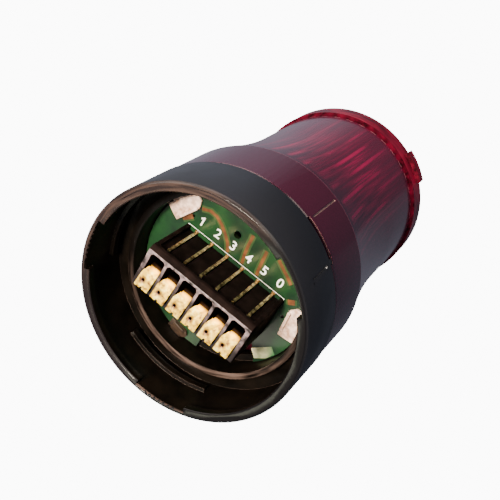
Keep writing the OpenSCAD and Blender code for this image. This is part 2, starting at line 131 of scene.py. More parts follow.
# Camera at the photo's view, below the mouth and looking up into it
view = {
    "place": (38.0, -125.5, -157.5),
    "right": (0.7713, -0.4512, 0.4488),
    "down": (0.6132, 0.7156, -0.3345),
    "forward": (-0.1703, 0.5332, 0.8287),
    "lens": 61.2, "sensor": 36, "clip": (0.005, 20),
}
right, up, back = Vector(view["right"]), -Vector(view["down"]), -Vector(view["forward"])
cameraData = bpy.data.cameras.new("camera")
cameraData.lens = view["lens"]
cameraData.sensor_width = view["sensor"]
cameraData.clip_start, cameraData.clip_end = view["clip"]
camera = bpy.data.objects.new("camera", cameraData)
bpy.context.scene.collection.objects.link(camera)
turn = Matrix((right, up, back)).transposed().to_4x4()
camera.matrix_world = Matrix.Translation(Vector(view["place"]) * mm) @ turn
bpy.context.scene.camera = camera

# Soft boxes, given by direction from the mouth: one into it past its left wall, a weak one over the digits,
# a low one whose glare shows on the faces that look out of the mouth, one above for the crown's end, and a
# wide one on the left whose glare shows on the edges of rim and lens
softBoxes = {
    "mouthBox": {"way": (-0.17, -0.35, -0.92), "far": 0.40, "size": (0.09, 0.09), "power": 7.2,
                 "tint": "#fff0dc"},
    "fillBox": {"way": (0.15, -0.87, -0.48), "far": 0.42, "size": (0.16, 0.16), "power": 0.26,
                "tint": "#fff0e2"},
    "lowBox": {"way": (-0.081, 0.628, -0.774), "far": 0.436, "size": (0.098, 0.028), "power": 0.08,
               "tint": "#f6f6dc"},
    "topBox": {"way": (-0.05, 0.12, 0.99), "far": 0.60, "size": (0.12, 0.12), "power": 0.7,
               "tint": "#ffffff"},
    "edgeBox": {"way": (-0.74, -0.59, -0.32), "far": 0.42, "size": (0.50, 0.10), "power": 0.7,
                "tint": "#fff0e6"},
}
mouthMiddle = Vector((0, 0, 8 * mm))
for name, box in softBoxes.items():
    light = bpy.data.lights.new(name, "AREA")
    light.shape = "RECTANGLE"
    light.size, light.size_y = box["size"]
    light.energy = box["power"]
    light.color = linear(box["tint"])[:3]
    lamp = bpy.data.objects.new(name, light)
    bpy.context.scene.collection.objects.link(lamp)
    way = Vector(box["way"]).normalized()
    lamp.location = mouthMiddle + way * box["far"]
    lamp.rotation_euler = way.to_track_quat("Z", "Y").to_euler()
    lamp.visible_camera = False

# Pale surround: white to the camera; as a light it is dim, with a soft glow on the left and a panel on the
# right. A glow grows with the ray's share along its way and with the ray's height, from the first limit to
# the second.
surround = {
    "seen": "#ffffff", "seenStrength": 11.0, "dim": "#dde4ff", "dimStrength": 0.13,
    "glows": {
        "leftGlow": {"way": (-1.0, 0.0, -0.25), "limits": (-0.12, 0.24), "heights": (0.05, 0.35),
                     "tint": "#e4ecff", "strength": 0.42},
        "rightPanel": {"way": (1.0, 1.03, -0.325), "limits": (-0.02, 0.02), "heights": (0.855, 0.885),
                       "tint": "#e8ebff", "strength": 0.09},
    },
}
world = bpy.data.worlds.new("paleStudio")
world.use_nodes = True
bpy.context.scene.world = world
ray = addNode(world, "TexCoord")["Generated"]
rise = addNode(world, "SeparateXYZ", {0: ray})["Z"]
sky = addNode(world, "Background", {"Color": surround["dim"], "Strength": surround["dimStrength"]})[0]
for glow in surround["glows"].values():
    share = addNode(world, "VectorMath", {0: ray, 1: glow["way"]}, operation="DOT_PRODUCT")["Value"]
    lit = addNode(world, "MapRange", {"Value": share, "From Min": glow["limits"][0],
                                      "From Max": glow["limits"][1], "To Max": glow["strength"]},
                  interpolation_type="SMOOTHSTEP")[0]
    above = addNode(world, "MapRange", {"Value": rise, "From Min": glow["heights"][0],
                                        "From Max": glow["heights"][1]}, interpolation_type="SMOOTHSTEP")[0]
    power = addNode(world, "Math", {0: lit, 1: above}, operation="MULTIPLY")[0]
    patch = addNode(world, "Background", {"Color": glow["tint"], "Strength": power})[0]
    sky = addNode(world, "AddShader", {0: sky, 1: patch})[0]
pale = addNode(world, "Background", {"Color": surround["seen"], "Strength": surround["seenStrength"]})[0]
seen = addNode(world, "LightPath")["Is Camera Ray"]
sky = addNode(world, "MixShader", {0: seen, 1: sky, 2: pale})[0]
world.node_tree.links.new(sky, world.node_tree.nodes["World Output"].inputs["Surface"])

# Pale floor, matt paint with a faint mottle, white to the camera as the surround is, and far enough down to
# leave room for the camera
floor = {"level": -420, "half": 3000, "low": "#ecece9", "high": "#f6f6f4", "mottle": 60.0, "roughness": 0.7,
         "seenStrength": 8.0}
paint, paintShader = newMaterial("paleFloorPaint", {"Roughness": floor["roughness"],
                                                    "Emission Color": "#ffffff"})
place = addNode(paint, "TexCoord")["Object"]
mottle = addNode(paint, "TexNoise", {"Vector": place, "Scale": perSize(floor["mottle"])})[0]
seen = addNode(paint, "LightPath")["Is Camera Ray"]
seen = addNode(paint, "Math", {0: seen, 1: floor["seenStrength"]}, operation="MULTIPLY")[0]
feed(paint, paintShader, {"Emission Strength": seen, "Base Color": addNode(
    paint, "Mix", {0: mottle, 6: floor["low"], 7: floor["high"]}, data_type="RGBA")[2]})
bm = bmesh.new()
bmesh.ops.create_grid(bm, x_segments=1, y_segments=1, size=floor["half"] * mm)
bmesh.ops.translate(bm, verts=bm.verts, vec=(0, 0, floor["level"] * mm))
floorMesh = bpy.data.meshes.new("floor")
bm.to_mesh(floorMesh)
bm.free()
floorMesh.materials.append(paint)
floorObject = bpy.data.objects.new("floor", floorMesh)
bpy.context.scene.collection.objects.link(floorObject)
print("camera, lights and floor in place")

# Collar: black ABS, moulded in a finely eroded tool, so satin charcoal outside; its rim is rubbed brown
# where modules are pushed on
collarLook = {
    "shell": "#202126", "face": "#080606", "litHalfFace": "#161112", "rubbedFace": "#3a2d28",
    "groove": "#3a3a3c", "bead": "#e4e4e2", "paintedPitShade": "#020202",
    "roughness": 0.40, "roughSpread": 0.05, "rimRoughness": 0.23, "cloud": 9.0, "cloudLimits": (0.3, 0.7),
    "grit": 0.5, "gritStrength": 0.12, "gritHeight": 0.05, "edge": 0.12,
    "rimHeights": (0.9, 0.1), "rimRadius": 30.95, "litHalfShare": 0.25,
    "rubbedSide": (-0.80, -0.60, 0.0), "rubbedShares": (0.3, 0.8),
    "ringWide": 0.8, "ringDrawn": 2.5, "ringLimits": (0.40, 0.62), "ringLeast": 0.15,
    "grooveRadius": 31.35, "grooveBlend": 0.1, "grooveHeights": (1.0, 1.6),
    "beadAt": (20.33, -24.06, 15.0), "paintedPitShadeAt": (21.1, -23.4, 6.9), "dotSize": 0.45, "dotCore": 0.6,
    "bore": ("#040302", "#0d0906", 6.0), "boreRadius": 30.5, "boreFrom": 0.3,
    "ledgeLitTones": ("#060403", "#54453f", 0.9), "ledgeTilt": (-0.95, -0.3), "ringInside": 24.2, "ringOutside": 26.1,
    "ledgeShadeFade": {"way": (0.3, 0.95, 0.0), "none": 0.0, "full": 20.0},
}


def mouldedCollar():
    look = collarLook
    material, shader = newMaterial("mouldedBlackAbs", {"IOR": 1.52, "Specular IOR Level": 0.4})
    place = addNode(material, "TexCoord")["Object"]
    axes = addNode(material, "SeparateXYZ", {0: place})
    flat = addNode(material, "CombineXYZ", {0: axes["X"], 1: axes["Y"]})[0]
    radius = addNode(material, "VectorMath", {0: flat}, operation="LENGTH")["Value"]
    # eroded grit is finer than this; drawn coarser so that it shows
    grit = addNode(material, "TexNoise", {"Vector": place, "Scale": perSize(look["grit"]), "Detail": 2.0})[0]
    cloud = addNode(material, "TexNoise", {"Vector": place, "Scale": perSize(look["cloud"]),
                                           "Detail": 4.0})[0]
    rim = addNode(material, "MapRange", {"Value": axes["Z"], "From Min": look["rimHeights"][0] * mm,
                                         "From Max": look["rimHeights"][1] * mm})[0]
    # the rim is painted lighter grey on one half, as painted light on the side where the light falls, and
    # rubbed brown in rings where modules are pushed on most
    half = addNode(material, "MapRange", {"Value": axes["X"],
                                          "From Min": look["litHalfShare"] * look["rimRadius"] * mm,
                                          "From Max": -look["litHalfShare"] * look["rimRadius"] * mm})[0]
    face = addNode(material, "Mix", {0: half, 6: look["face"], 7: look["litHalfFace"]}, data_type="RGBA")[2]
    side = addNode(material, "VectorMath", {0: place, 1: look["rubbedSide"]},
                   operation="DOT_PRODUCT")["Value"]
    much = addNode(material, "MapRange", {"Value": side,
                                          "From Min": look["rubbedShares"][0] * look["rimRadius"] * mm,
                                          "From Max": look["rubbedShares"][1] * look["rimRadius"] * mm})[0]
    angle = addNode(material, "Math", {0: axes["Y"], 1: axes["X"]}, operation="ARCTAN2")[0]
    angle = addNode(material, "Math", {0: angle, 1: look["ringDrawn"] * mm}, operation="MULTIPLY")[0]
    rings = addNode(material, "CombineXYZ", {0: radius, 1: angle})[0]
    rings = addNode(material, "TexNoise", {"Vector": rings, "Scale": perSize(look["ringWide"]),
                                           "Detail": 2.0})[0]
    rings = addNode(material, "MapRange", {"Value": rings, "From Min": look["ringLimits"][0],
                                           "From Max": look["ringLimits"][1], "To Min": look["ringLeast"]})[0]
    much = addNode(material, "Math", {0: much, 1: rings}, operation="MULTIPLY")[0]
    face = addNode(material, "Mix", {0: much, 6: face, 7: look["rubbedFace"]}, data_type="RGBA")[2]
    body = addNode(material, "Mix", {0: rim, 6: look["shell"], 7: face}, data_type="RGBA")[2]
    # floor of the engraved mark, with a painted highlight as a pale dot at its upper end and painted shade as
    # a dark dot for a pit at its lower end
    shallow = addNode(material, "MapRange", {"Value": radius,
                                             "From Min": (look["grooveRadius"] + look["grooveBlend"]) * mm,
                                             "From Max": look["grooveRadius"] * mm})[0]
    deep = addNode(material, "MapRange", {"Value": axes["Z"], "From Min": look["grooveHeights"][0] * mm,
                                          "From Max": look["grooveHeights"][1] * mm})[0]
    groove = addNode(material, "Math", {0: shallow, 1: deep}, operation="MULTIPLY")[0]
    body = addNode(material, "Mix", {0: groove, 6: body, 7: look["groove"]}, data_type="RGBA")[2]
    for spot, colour in (("beadAt", "bead"), ("paintedPitShadeAt", "paintedPitShade")):
        reach = addNode(material, "VectorMath", {0: place, 1: [c * mm for c in look[spot]]},
                        operation="DISTANCE")["Value"]
        dot = addNode(material, "MapRange", {"Value": reach, "From Min": look["dotSize"] * mm,
                                             "From Max": look["dotSize"] * look["dotCore"] * mm})[0]
        body = addNode(material, "Mix", {0: dot, 6: body, 7: look[colour]}, data_type="RGBA")[2]
    rough = addNode(material, "MapRange", {"Value": cloud, "From Min": look["cloudLimits"][0],
                                           "From Max": look["cloudLimits"][1],
                                           "To Min": look["roughness"] - look["roughSpread"],
                                           "To Max": look["roughness"] + look["roughSpread"]})[0]
    rough = addNode(material, "MapRange", {"Value": rim, "To Min": rough, "To Max": look["rimRoughness"]})[0]
    bump = addNode(material, "Bump", {"Strength": look["gritStrength"], "Distance": look["gritHeight"] * mm,
                                      "Height": grit})[0]
    feed(material, shader, {"Base Color": body, "Roughness": rough, "Normal": bump})
    return material


patchLimits = (0.35, 0.65)  # stretch of the noise over which one tone gives way to the other
grainStrength = 0.4


# two tones in soft patches, with a fine grain; the looks keep two tones and their patches' size together.
# The patches may be drawn out round the axis, by the millimetres that one radian counts, and the second tone
# may fade out along a direction.
def cloudy(name, finish, low, high, size, grain=0.4, grainHeight=0.0, fade=None, drawn=None):
    material, shader = newMaterial(name, finish)
    place = addNode(material, "TexCoord")["Object"]
    pattern = place
    if drawn:
        axes = addNode(material, "SeparateXYZ", {0: place})
        flat = addNode(material, "CombineXYZ", {0: axes["X"], 1: axes["Y"]})[0]
        radius = addNode(material, "VectorMath", {0: flat}, operation="LENGTH")["Value"]
        angle = addNode(material, "Math", {0: axes["Y"], 1: axes["X"]}, operation="ARCTAN2")[0]
        angle = addNode(material, "Math", {0: angle, 1: drawn * mm}, operation="MULTIPLY")[0]
        pattern = addNode(material, "CombineXYZ", {0: radius, 1: angle, 2: axes["Z"]})[0]
    cloud = addNode(material, "TexNoise", {"Vector": pattern, "Scale": perSize(size), "Detail": 3.0})[0]
    cloud = addNode(material, "MapRange", {"Value": cloud, "From Min": patchLimits[0],
                                           "From Max": patchLimits[1]})[0]
    if fade:
        along = addNode(material, "VectorMath", {0: place, 1: fade["way"]}, operation="DOT_PRODUCT")["Value"]
        share = addNode(material, "MapRange", {"Value": along, "From Min": fade["none"] * mm,
                                               "From Max": fade["full"] * mm})[0]
        cloud = addNode(material, "Math", {0: cloud, 1: share}, operation="MULTIPLY")[0]
    links = {"Base Color": addNode(material, "Mix", {0: cloud, 6: low, 7: high}, data_type="RGBA")[2]}
    if grainHeight:
        speck = addNode(material, "TexNoise", {"Vector": place, "Scale": perSize(grain), "Detail": 2.0})[0]
        links["Normal"] = addNode(material, "Bump", {"Strength": grainStrength, "Distance": grainHeight * mm,
                                                     "Height": speck})[0]
    feed(material, shader, links)
    return material


# inside, the tool was polished and the plastic is bare: black, with a brown cast on what catches the light
boreMaterial = cloudy("polishedBlackAbs", {"IOR": 1.52, "Specular IOR Level": 0.12, "Roughness": 0.30},
                      *collarLook["bore"])
collar = newPiece("collar_moulded", softEdged("collar", collarLook["edge"]), mouldedCollar(),
                  stands=["collar"])
addFinish(collar, boreMaterial, lambda radius, height, face: height > collarLook["boreFrom"] and
          radius < collarLook["boreRadius"])
# painted light: the ring wall's end and all edges that look out of the mouth are drawn lit brown, in patches
# drawn out in rings, fading to black towards the side that lies in shade
ledgeLitMaterial = cloudy("blackAbsPaintedLitLedge", {"IOR": 1.52, "Specular IOR Level": 0.15, "Roughness": 0.38},
                       *collarLook["ledgeLitTones"], fade=collarLook["ledgeShadeFade"], drawn=collarLook["ringDrawn"])
flatEnd, steepEnd = collarLook["ledgeTilt"]
addFinish(collar, ledgeLitMaterial, lambda radius, height, face:
          height > collarLook["boreFrom"] and face.normal.z < steepEnd and (
              collarLook["ringInside"] < radius < collarLook["ringOutside"] or
              face.normal.z > flatEnd and radius < collarLook["boreRadius"]))

# Lens: tinted polycarbonate moulded to a gloss, dark wine in the wall and bright red at the bare crown;
# the ribs inside gather the light into long crimson streaks
lensLook = {
    "dark": "#6c2440", "band": "#501a32", "streak": "#d01c60", "mark": "#a88884", "crease": "#b86a80",
    "dashGlint": "#ee9fae", "roughness": 0.18, "transmission": 0.30,
    "ripple": 7.0, "rippleStrength": 0.04, "rippleHeight": 0.2,
    "ribs": 40, "ribFrom": 37.0, "ribTo": 97.0, "ribStart": 3, "ribStop": 30, "ribLimits": (0.20, 0.02),
    "ribShift": 3.71, "streakLong": 26.0, "streakLimits": (0.36, 0.58),
    "fineWide": 0.9, "fineLimits": (0.44, 0.72), "fineMost": 0.55,
    "streakLightWay": (0.14, -0.99, 0.0), "streakLightShares": (0.66, 0.92), "streakLightLeast": 0.08,
    "bodyRadius": 27.3, "jointTo": 18.95, "creaseAt": 36.05, "bandBlend": 0.1,
    "dashLimits": (0.22, 0.30), "dashUnder": 0.5, "dashHalf": (0.24, 0.06),
    "creaseGlintHalf": (0.20, 0.10), "creaseGlintMost": 0.5,
    "markRadius": 31.05, "markFrom": 19.5, "markTo": 35.5, "markBlend": 0.08, "markWall": (0.5, 0.3),
    "markEnd": 0.2,
    "crown": ("#4a1020", "#a41e3e", 3.0), "crownDrawn": 8.0, "crownFrom": 92.9, "crownTo": 101.4,
    "crownEdge": 0.35, "crownDeep": 1.5,
    "shade": ("#1c0308", "#5c0a20", 2.5), "shadeBelow": 0.3, "shadeTilt": -0.3, "footTilt": -0.9,
    "inside": ("#2a0510", "#400a1c", 3.0), "insideDeep": 1, "insideTilt": 0.05,
}


def tintedLens():
    look = lensLook
    material, shader = newMaterial("tintedPolycarbonate", {
        "IOR": 1.58, "Roughness": look["roughness"], "Transmission Weight": look["transmission"]})
    place = addNode(material, "TexCoord")["Object"]
    axes = addNode(material, "SeparateXYZ", {0: place})
    height = axes["Z"]
    flat = addNode(material, "CombineXYZ", {0: axes["X"], 1: axes["Y"]})[0]
    radius = addNode(material, "VectorMath", {0: flat}, operation="LENGTH")["Value"]
    angle = addNode(material, "Math", {0: axes["Y"], 1: axes["X"]}, operation="ARCTAN2")[0]
    # one streak to a rib, lit here and there along its length
    turns = addNode(material, "Math", {0: angle, 1: look["ribs"] / (2 * math.pi)}, operation="MULTIPLY")[0]
    part = addNode(material, "Math", {0: turns}, operation="FRACT")[0]
    across = addNode(material, "Math", {0: part, 1: 0.5}, operation="SUBTRACT")[0]
    across = addNode(material, "Math", {0: across}, operation="ABSOLUTE")[0]
    rib = addNode(material, "MapRange", {"Value": across, "From Min": look["ribLimits"][0],
                                         "From Max": look["ribLimits"][1]},
                  interpolation_type="SMOOTHSTEP")[0]
    number = addNode(material, "Math", {0: turns}, operation="FLOOR")[0]
    number = addNode(material, "Math", {0: number, 1: look["ribShift"]}, operation="MULTIPLY")[0]
    along = addNode(material, "Math", {0: height, 1: perSize(look["streakLong"])}, operation="MULTIPLY")[0]
    spot = addNode(material, "CombineXYZ", {0: number, 2: along})[0]
    patchy = addNode(material, "TexNoise", {"Vector": spot, "Scale": 1.0, "Detail": 1.0})[0]
    patchy = addNode(material, "MapRange", {"Value": patchy, "From Min": look["streakLimits"][0],
                                            "From Max": look["streakLimits"][1]})[0]
    rib = addNode(material, "Math", {0: rib, 1: patchy}, operation="MULTIPLY")[0]
    # finer flow lines between the ribs
    girth = addNode(material, "Math", {0: angle, 1: look["bodyRadius"] / look["fineWide"]},
                    operation="MULTIPLY")[0]
    thread = addNode(material, "CombineXYZ", {0: girth, 2: along})[0]
    fine = addNode(material, "TexNoise", {"Vector": thread, "Scale": 1.0, "Detail": 2.0})[0]
    fine = addNode(material, "MapRange", {"Value": fine, "From Min": look["fineLimits"][0],
                                          "From Max": look["fineLimits"][1], "To Max": look["fineMost"]})[0]
    streak = addNode(material, "Math", {0: rib, 1: fine}, operation="MAXIMUM")[0]
    start = addNode(material, "MapRange", {"Value": height, "From Min": look["ribFrom"] * mm,
                                           "From Max": (look["ribFrom"] + look["ribStart"]) * mm})[0]
    stop = addNode(material, "MapRange", {"Value": height, "From Min": look["ribTo"] * mm,
                                          "From Max": (look["ribTo"] - look["ribStop"]) * mm})[0]
    streak = addNode(material, "Math", {0: streak, 1: start}, operation="MULTIPLY")[0]
    streak = addNode(material, "Math", {0: streak, 1: stop}, operation="MULTIPLY")[0]
    # painted light: the streaks show in two fields on opposite sides and fade out between them, as the light
    # they gather does
    streakLightField = addNode(material, "VectorMath", {0: place, 1: look["streakLightWay"]}, operation="DOT_PRODUCT")["Value"]
    streakLightField = addNode(material, "Math", {0: streakLightField}, operation="ABSOLUTE")[0]
    streakLightField = addNode(material, "MapRange", {"Value": streakLightField,
                                           "From Min": look["streakLightShares"][0] * look["bodyRadius"] * mm,
                                           "From Max": look["streakLightShares"][1] * look["bodyRadius"] * mm,
                                           "To Min": look["streakLightLeast"]})[0]
    streak = addNode(material, "Math", {0: streak, 1: streakLightField}, operation="MULTIPLY")[0]
    body = addNode(material, "Mix", {0: streak, 6: look["dark"], 7: look["streak"]}, data_type="RGBA")[2]
    # painted shade: the band is drawn darker, as the collar's neck behind it keeps light from passing through
    bandShade = addNode(material, "MapRange", {"Value": height,
                                           "From Min": (look["creaseAt"] + look["bandBlend"]) * mm,
                                           "From Max": (look["creaseAt"] - look["bandBlend"]) * mm})[0]
    body = addNode(material, "Mix", {0: bandShade, 6: body, 7: look["band"]}, data_type="RGBA")[2]
    # painted highlight: fine pale dashes where the ribs end under the crown
    dashGlint = addNode(material, "MapRange", {"Value": across, "From Min": look["dashLimits"][0],
                                          "From Max": look["dashLimits"][1]})[0]
    under = addNode(material, "Math", {0: height, 1: (look["crownFrom"] - look["dashUnder"]) * mm},
                    operation="SUBTRACT")[0]
    under = addNode(material, "Math", {0: under}, operation="ABSOLUTE")[0]
    under = addNode(material, "MapRange", {"Value": under, "From Min": look["dashHalf"][0] * mm,
                                           "From Max": look["dashHalf"][1] * mm})[0]
    dashGlint = addNode(material, "Math", {0: dashGlint, 1: under}, operation="MULTIPLY")[0]
    body = addNode(material, "Mix", {0: dashGlint, 6: body, 7: look["dashGlint"]}, data_type="RGBA")[2]
    # painted highlight: a pale line along the crease
    creaseGlint = addNode(material, "Math", {0: height, 1: look["creaseAt"] * mm}, operation="SUBTRACT")[0]
    creaseGlint = addNode(material, "Math", {0: creaseGlint}, operation="ABSOLUTE")[0]
    creaseGlint = addNode(material, "MapRange", {"Value": creaseGlint, "From Min": look["creaseGlintHalf"][0] * mm,
                                          "From Max": look["creaseGlintHalf"][1] * mm,
                                          "To Max": look["creaseGlintMost"]})[0]
    body = addNode(material, "Mix", {0: creaseGlint, 6: body, 7: look["crease"]}, data_type="RGBA")[2]
    # floor of the engraved mark
    low = addNode(material, "MapRange", {"Value": radius,
                                         "From Min": (look["markRadius"] + look["markBlend"]) * mm,
                                         "From Max": look["markRadius"] * mm})[0]
    wall = addNode(material, "MapRange", {"Value": radius,
                                          "From Min": (look["markRadius"] - look["markWall"][0]) * mm,
                                          "From Max": (look["markRadius"] - look["markWall"][1]) * mm})[0]
    band = addNode(material, "MapRange", {"Value": height, "From Min": look["markTo"] * mm,
                                          "From Max": (look["markTo"] - look["markEnd"]) * mm})[0]
    lift = addNode(material, "MapRange", {"Value": height, "From Min": look["markFrom"] * mm,
                                          "From Max": (look["markFrom"] + look["markEnd"]) * mm})[0]
    mark = addNode(material, "Math", {0: low, 1: wall}, operation="MULTIPLY")[0]
    mark = addNode(material, "Math", {0: mark, 1: band}, operation="MULTIPLY")[0]
    mark = addNode(material, "Math", {0: mark, 1: lift}, operation="MULTIPLY")[0]
    body = addNode(material, "Mix", {0: mark, 6: body, 7: look["mark"]}, data_type="RGBA")[2]
    ripple = addNode(material, "TexNoise", {"Vector": place, "Scale": perSize(look["ripple"]),
                                            "Detail": 1.0})[0]
    bump = addNode(material, "Bump", {"Strength": look["rippleStrength"],
                                      "Distance": look["rippleHeight"] * mm, "Height": ripple})[0]
    feed(material, shader, {"Base Color": body, "Normal": bump})
    return material


bm = mergedCopy("lens")
crownEdges = [e for e in bm.edges if len(e.link_faces) == 2 and e.calc_face_angle() > math.radians(sharpAngle)
              and all(v.co.z > lensLook["crownFrom"] * mm and v.co.xy.length > lensLook["bodyRadius"] * mm
                      for v in e.verts)]
bmesh.ops.bevel(bm, geom=crownEdges, offset=lensLook["crownEdge"] * mm, offset_type="OFFSET", segments=3,
                profile=0.5, affect="EDGES", clamp_overlap=True, material=-1)
# the crease between band and taper is only 12 degrees, so the shading breaks from 9 degrees up
lens = newPiece("lens_moulded", bm, tintedLens(), body="lens", stands=["lens"],
                smoothAngle=9)
# the crown has no ribs behind it and is clear red; its brighter red is partly painted light, for the light
# that passes through it
crownBacklitMaterial = cloudy("clearRedPolycarbonate", {"IOR": 1.58, "Specular IOR Level": 0.08, "Roughness": 0.30},
                       *lensLook["crown"], drawn=lensLook["crownDrawn"])
addFinish(lens, crownBacklitMaterial, lambda radius, height, face:
          lensLook["crownFrom"] < height < lensLook["crownTo"] and
          radius > lensLook["bodyRadius"] - lensLook["crownDeep"])
# faces of crown and foot that look to the mouth are dark, as no light passes through them
shadeMaterial = cloudy("darkRedPolycarbonate", {"IOR": 1.58, "Specular IOR Level": 0.05, "Roughness": 0.35},
                       *lensLook["shade"])
addFinish(lens, shadeMaterial, lambda radius, height, face: face.normal.z < lensLook["shadeTilt"] and (
    height > lensLook["crownFrom"] - lensLook["shadeBelow"] and radius > lensLook["bodyRadius"] or
    height < lensLook["jointTo"] and face.normal.z < lensLook["footTilt"]))
# inside, ribs and wall are satin, and dark because the light has passed the wall
ribMaterial = cloudy("satinRedPolycarbonate", {"IOR": 1.58, "Roughness": 0.40}, *lensLook["inside"])
addFinish(lens, ribMaterial, lambda radius, height, face: height < lensLook["crownFrom"] and
          face.normal.xy.dot(face.center.xy.normalized()) < lensLook["insideTilt"] and
          radius < lensLook["markRadius"] - lensLook["insideDeep"])
print("collar and lens dressed")

# Board: glass-epoxy laminate under green solder mask, half gloss and cloudy, with dark sawn edges
boardLook = {"mask": "#14371a", "deep": "#0b2013", "edge": "#141c10", "cloud": 7.0, "roughness": 0.36,
             "specular": 0.3, "coat": 0.4, "coatRoughness": 0.16, "sawnLimits": (0.6, 0.4),
             "weave": 0.6, "coarser": 6.3, "bend": 0.4, "weaveStrength": 0.1, "weaveHeight": 0.02}


def greenBoard():
    look = boardLook
    material, shader = newMaterial("greenSolderMask", {
        "IOR": 1.5, "Specular IOR Level": look["specular"], "Roughness": look["roughness"],
        "Coat Weight": look["coat"], "Coat Roughness": look["coatRoughness"]})
    place = addNode(material, "TexCoord")["Object"]
    cloud = addNode(material, "TexNoise", {"Vector": place, "Scale": perSize(look["cloud"]),
                                           "Detail": 3.0})[0]
    cloud = addNode(material, "MapRange", {"Value": cloud, "From Min": patchLimits[0],
                                           "From Max": patchLimits[1]})[0]
    body = addNode(material, "Mix", {0: cloud, 6: look["deep"], 7: look["mask"]}, data_type="RGBA")[2]
    facing = addNode(material, "SeparateXYZ", {0: addNode(material, "NewGeometry")["True Normal"]})["Z"]
    facing = addNode(material, "Math", {0: facing}, operation="ABSOLUTE")[0]
    sawn = addNode(material, "MapRange", {"Value": facing, "From Min": look["sawnLimits"][0],
                                          "From Max": look["sawnLimits"][1]})[0]
    body = addNode(material, "Mix", {0: sawn, 6: body, 7: look["edge"]}, data_type="RGBA")[2]
    # glass weave under the mask, drawn coarser than it is
    weave = addNode(material, "TexWave", {"Vector": place, "Scale": perSize(look["weave"]) / look["coarser"],
                                          "Distortion": look["bend"]},
                    wave_type="BANDS", bands_direction="DIAGONAL")["Fac"]
    bump = addNode(material, "Bump", {"Strength": look["weaveStrength"], "Distance": look["weaveHeight"] * mm,
                                      "Height": weave})[0]
    feed(material, shader, {"Base Color": body, "Normal": bump})
    return material


dress(greenBoard(), "main_board", "tube_board")

# Contact block: black glass-filled polyamide, moulded; satin with a mauve cast where it turns to the light
blockLook = {"body": ("#100b0a", "#1e1614", 3.0), "grain": 0.25, "grainHeight": 0.01, "edge": 0.14,
             "headSheen": ("#1c1616", "#8a787a", 1.3), "headHeight": 0.02, "headTo": 2.4, "headArea": 6,
             "headTilt": (-0.75, -0.25), "headSheenFade": {"way": (0.0, 1.0, 0.0), "none": 3.0, "full": -2.4}}
blockMaterial = cloudy("glassFilledPolyamide", {"Roughness": 0.60, "IOR": 1.53, "Specular IOR Level": 0.01},
                       *blockLook["body"], blockLook["grain"], blockLook["grainHeight"])
block = newPiece("contact_block_moulded", softEdged("contact_block", blockLook["edge"]), blockMaterial,
                 stands=["contact_block"])
# painted light: heads of its walls that look to the mouth are drawn mauve grey, patchy, as a lit sheen that
# fades out towards the free ends
headSheenMaterial = cloudy("polyamidePaintedSheen", {"Roughness": 0.45, "IOR": 1.53, "Specular IOR Level": 0.4},
                      *blockLook["headSheen"], blockLook["grain"], blockLook["headHeight"],
                      fade=blockLook["headSheenFade"])
flatHead, smallHead = blockLook["headTilt"]
addFinish(block, headSheenMaterial, lambda radius, height, face: height < blockLook["headTo"] and (
    face.normal.z < flatHead or
    face.normal.z < smallHead and face.area < blockLook["headArea"] * mm * mm))
dress(blockMaterial, "contact_plate", "power_transistor")

# Spring contacts: plated bronze strip, stamped; cream on the tab, stained round the hole, golden at the bend,
# painted dark below it as the shade in the block's cell, and khaki on the leg
contactLook = {
    "plate": "#ecc034", "pale": "#fce680", "stain": "#744a18", "holeTint": "#55300c", "neck": "#c08a28",
    "neckShade": "#0c0603", "leg": "#b4a678", "legDark": "#54482c", "roughness": 0.42, "metallic": (0.35, 1.0),
    "stainSize": 1.1, "stainLimits": (0.50, 0.68), "paleLimits": (0.46, 0.36), "legLimits": (0.45, 0.60),
    "pitch": 5.08, "hole": (-0.61, 2.77), "holeStain": 1.2, "holeCore": 0.4,
    "neckY": (0.4, -0.9), "neckShadeFrom": -0.9, "neckShadeLong": 0.8, "legY": (-4.6, -5.0),
    "dentStrength": 0.3, "dentDepth": 0.06, "edge": 0.05,
}


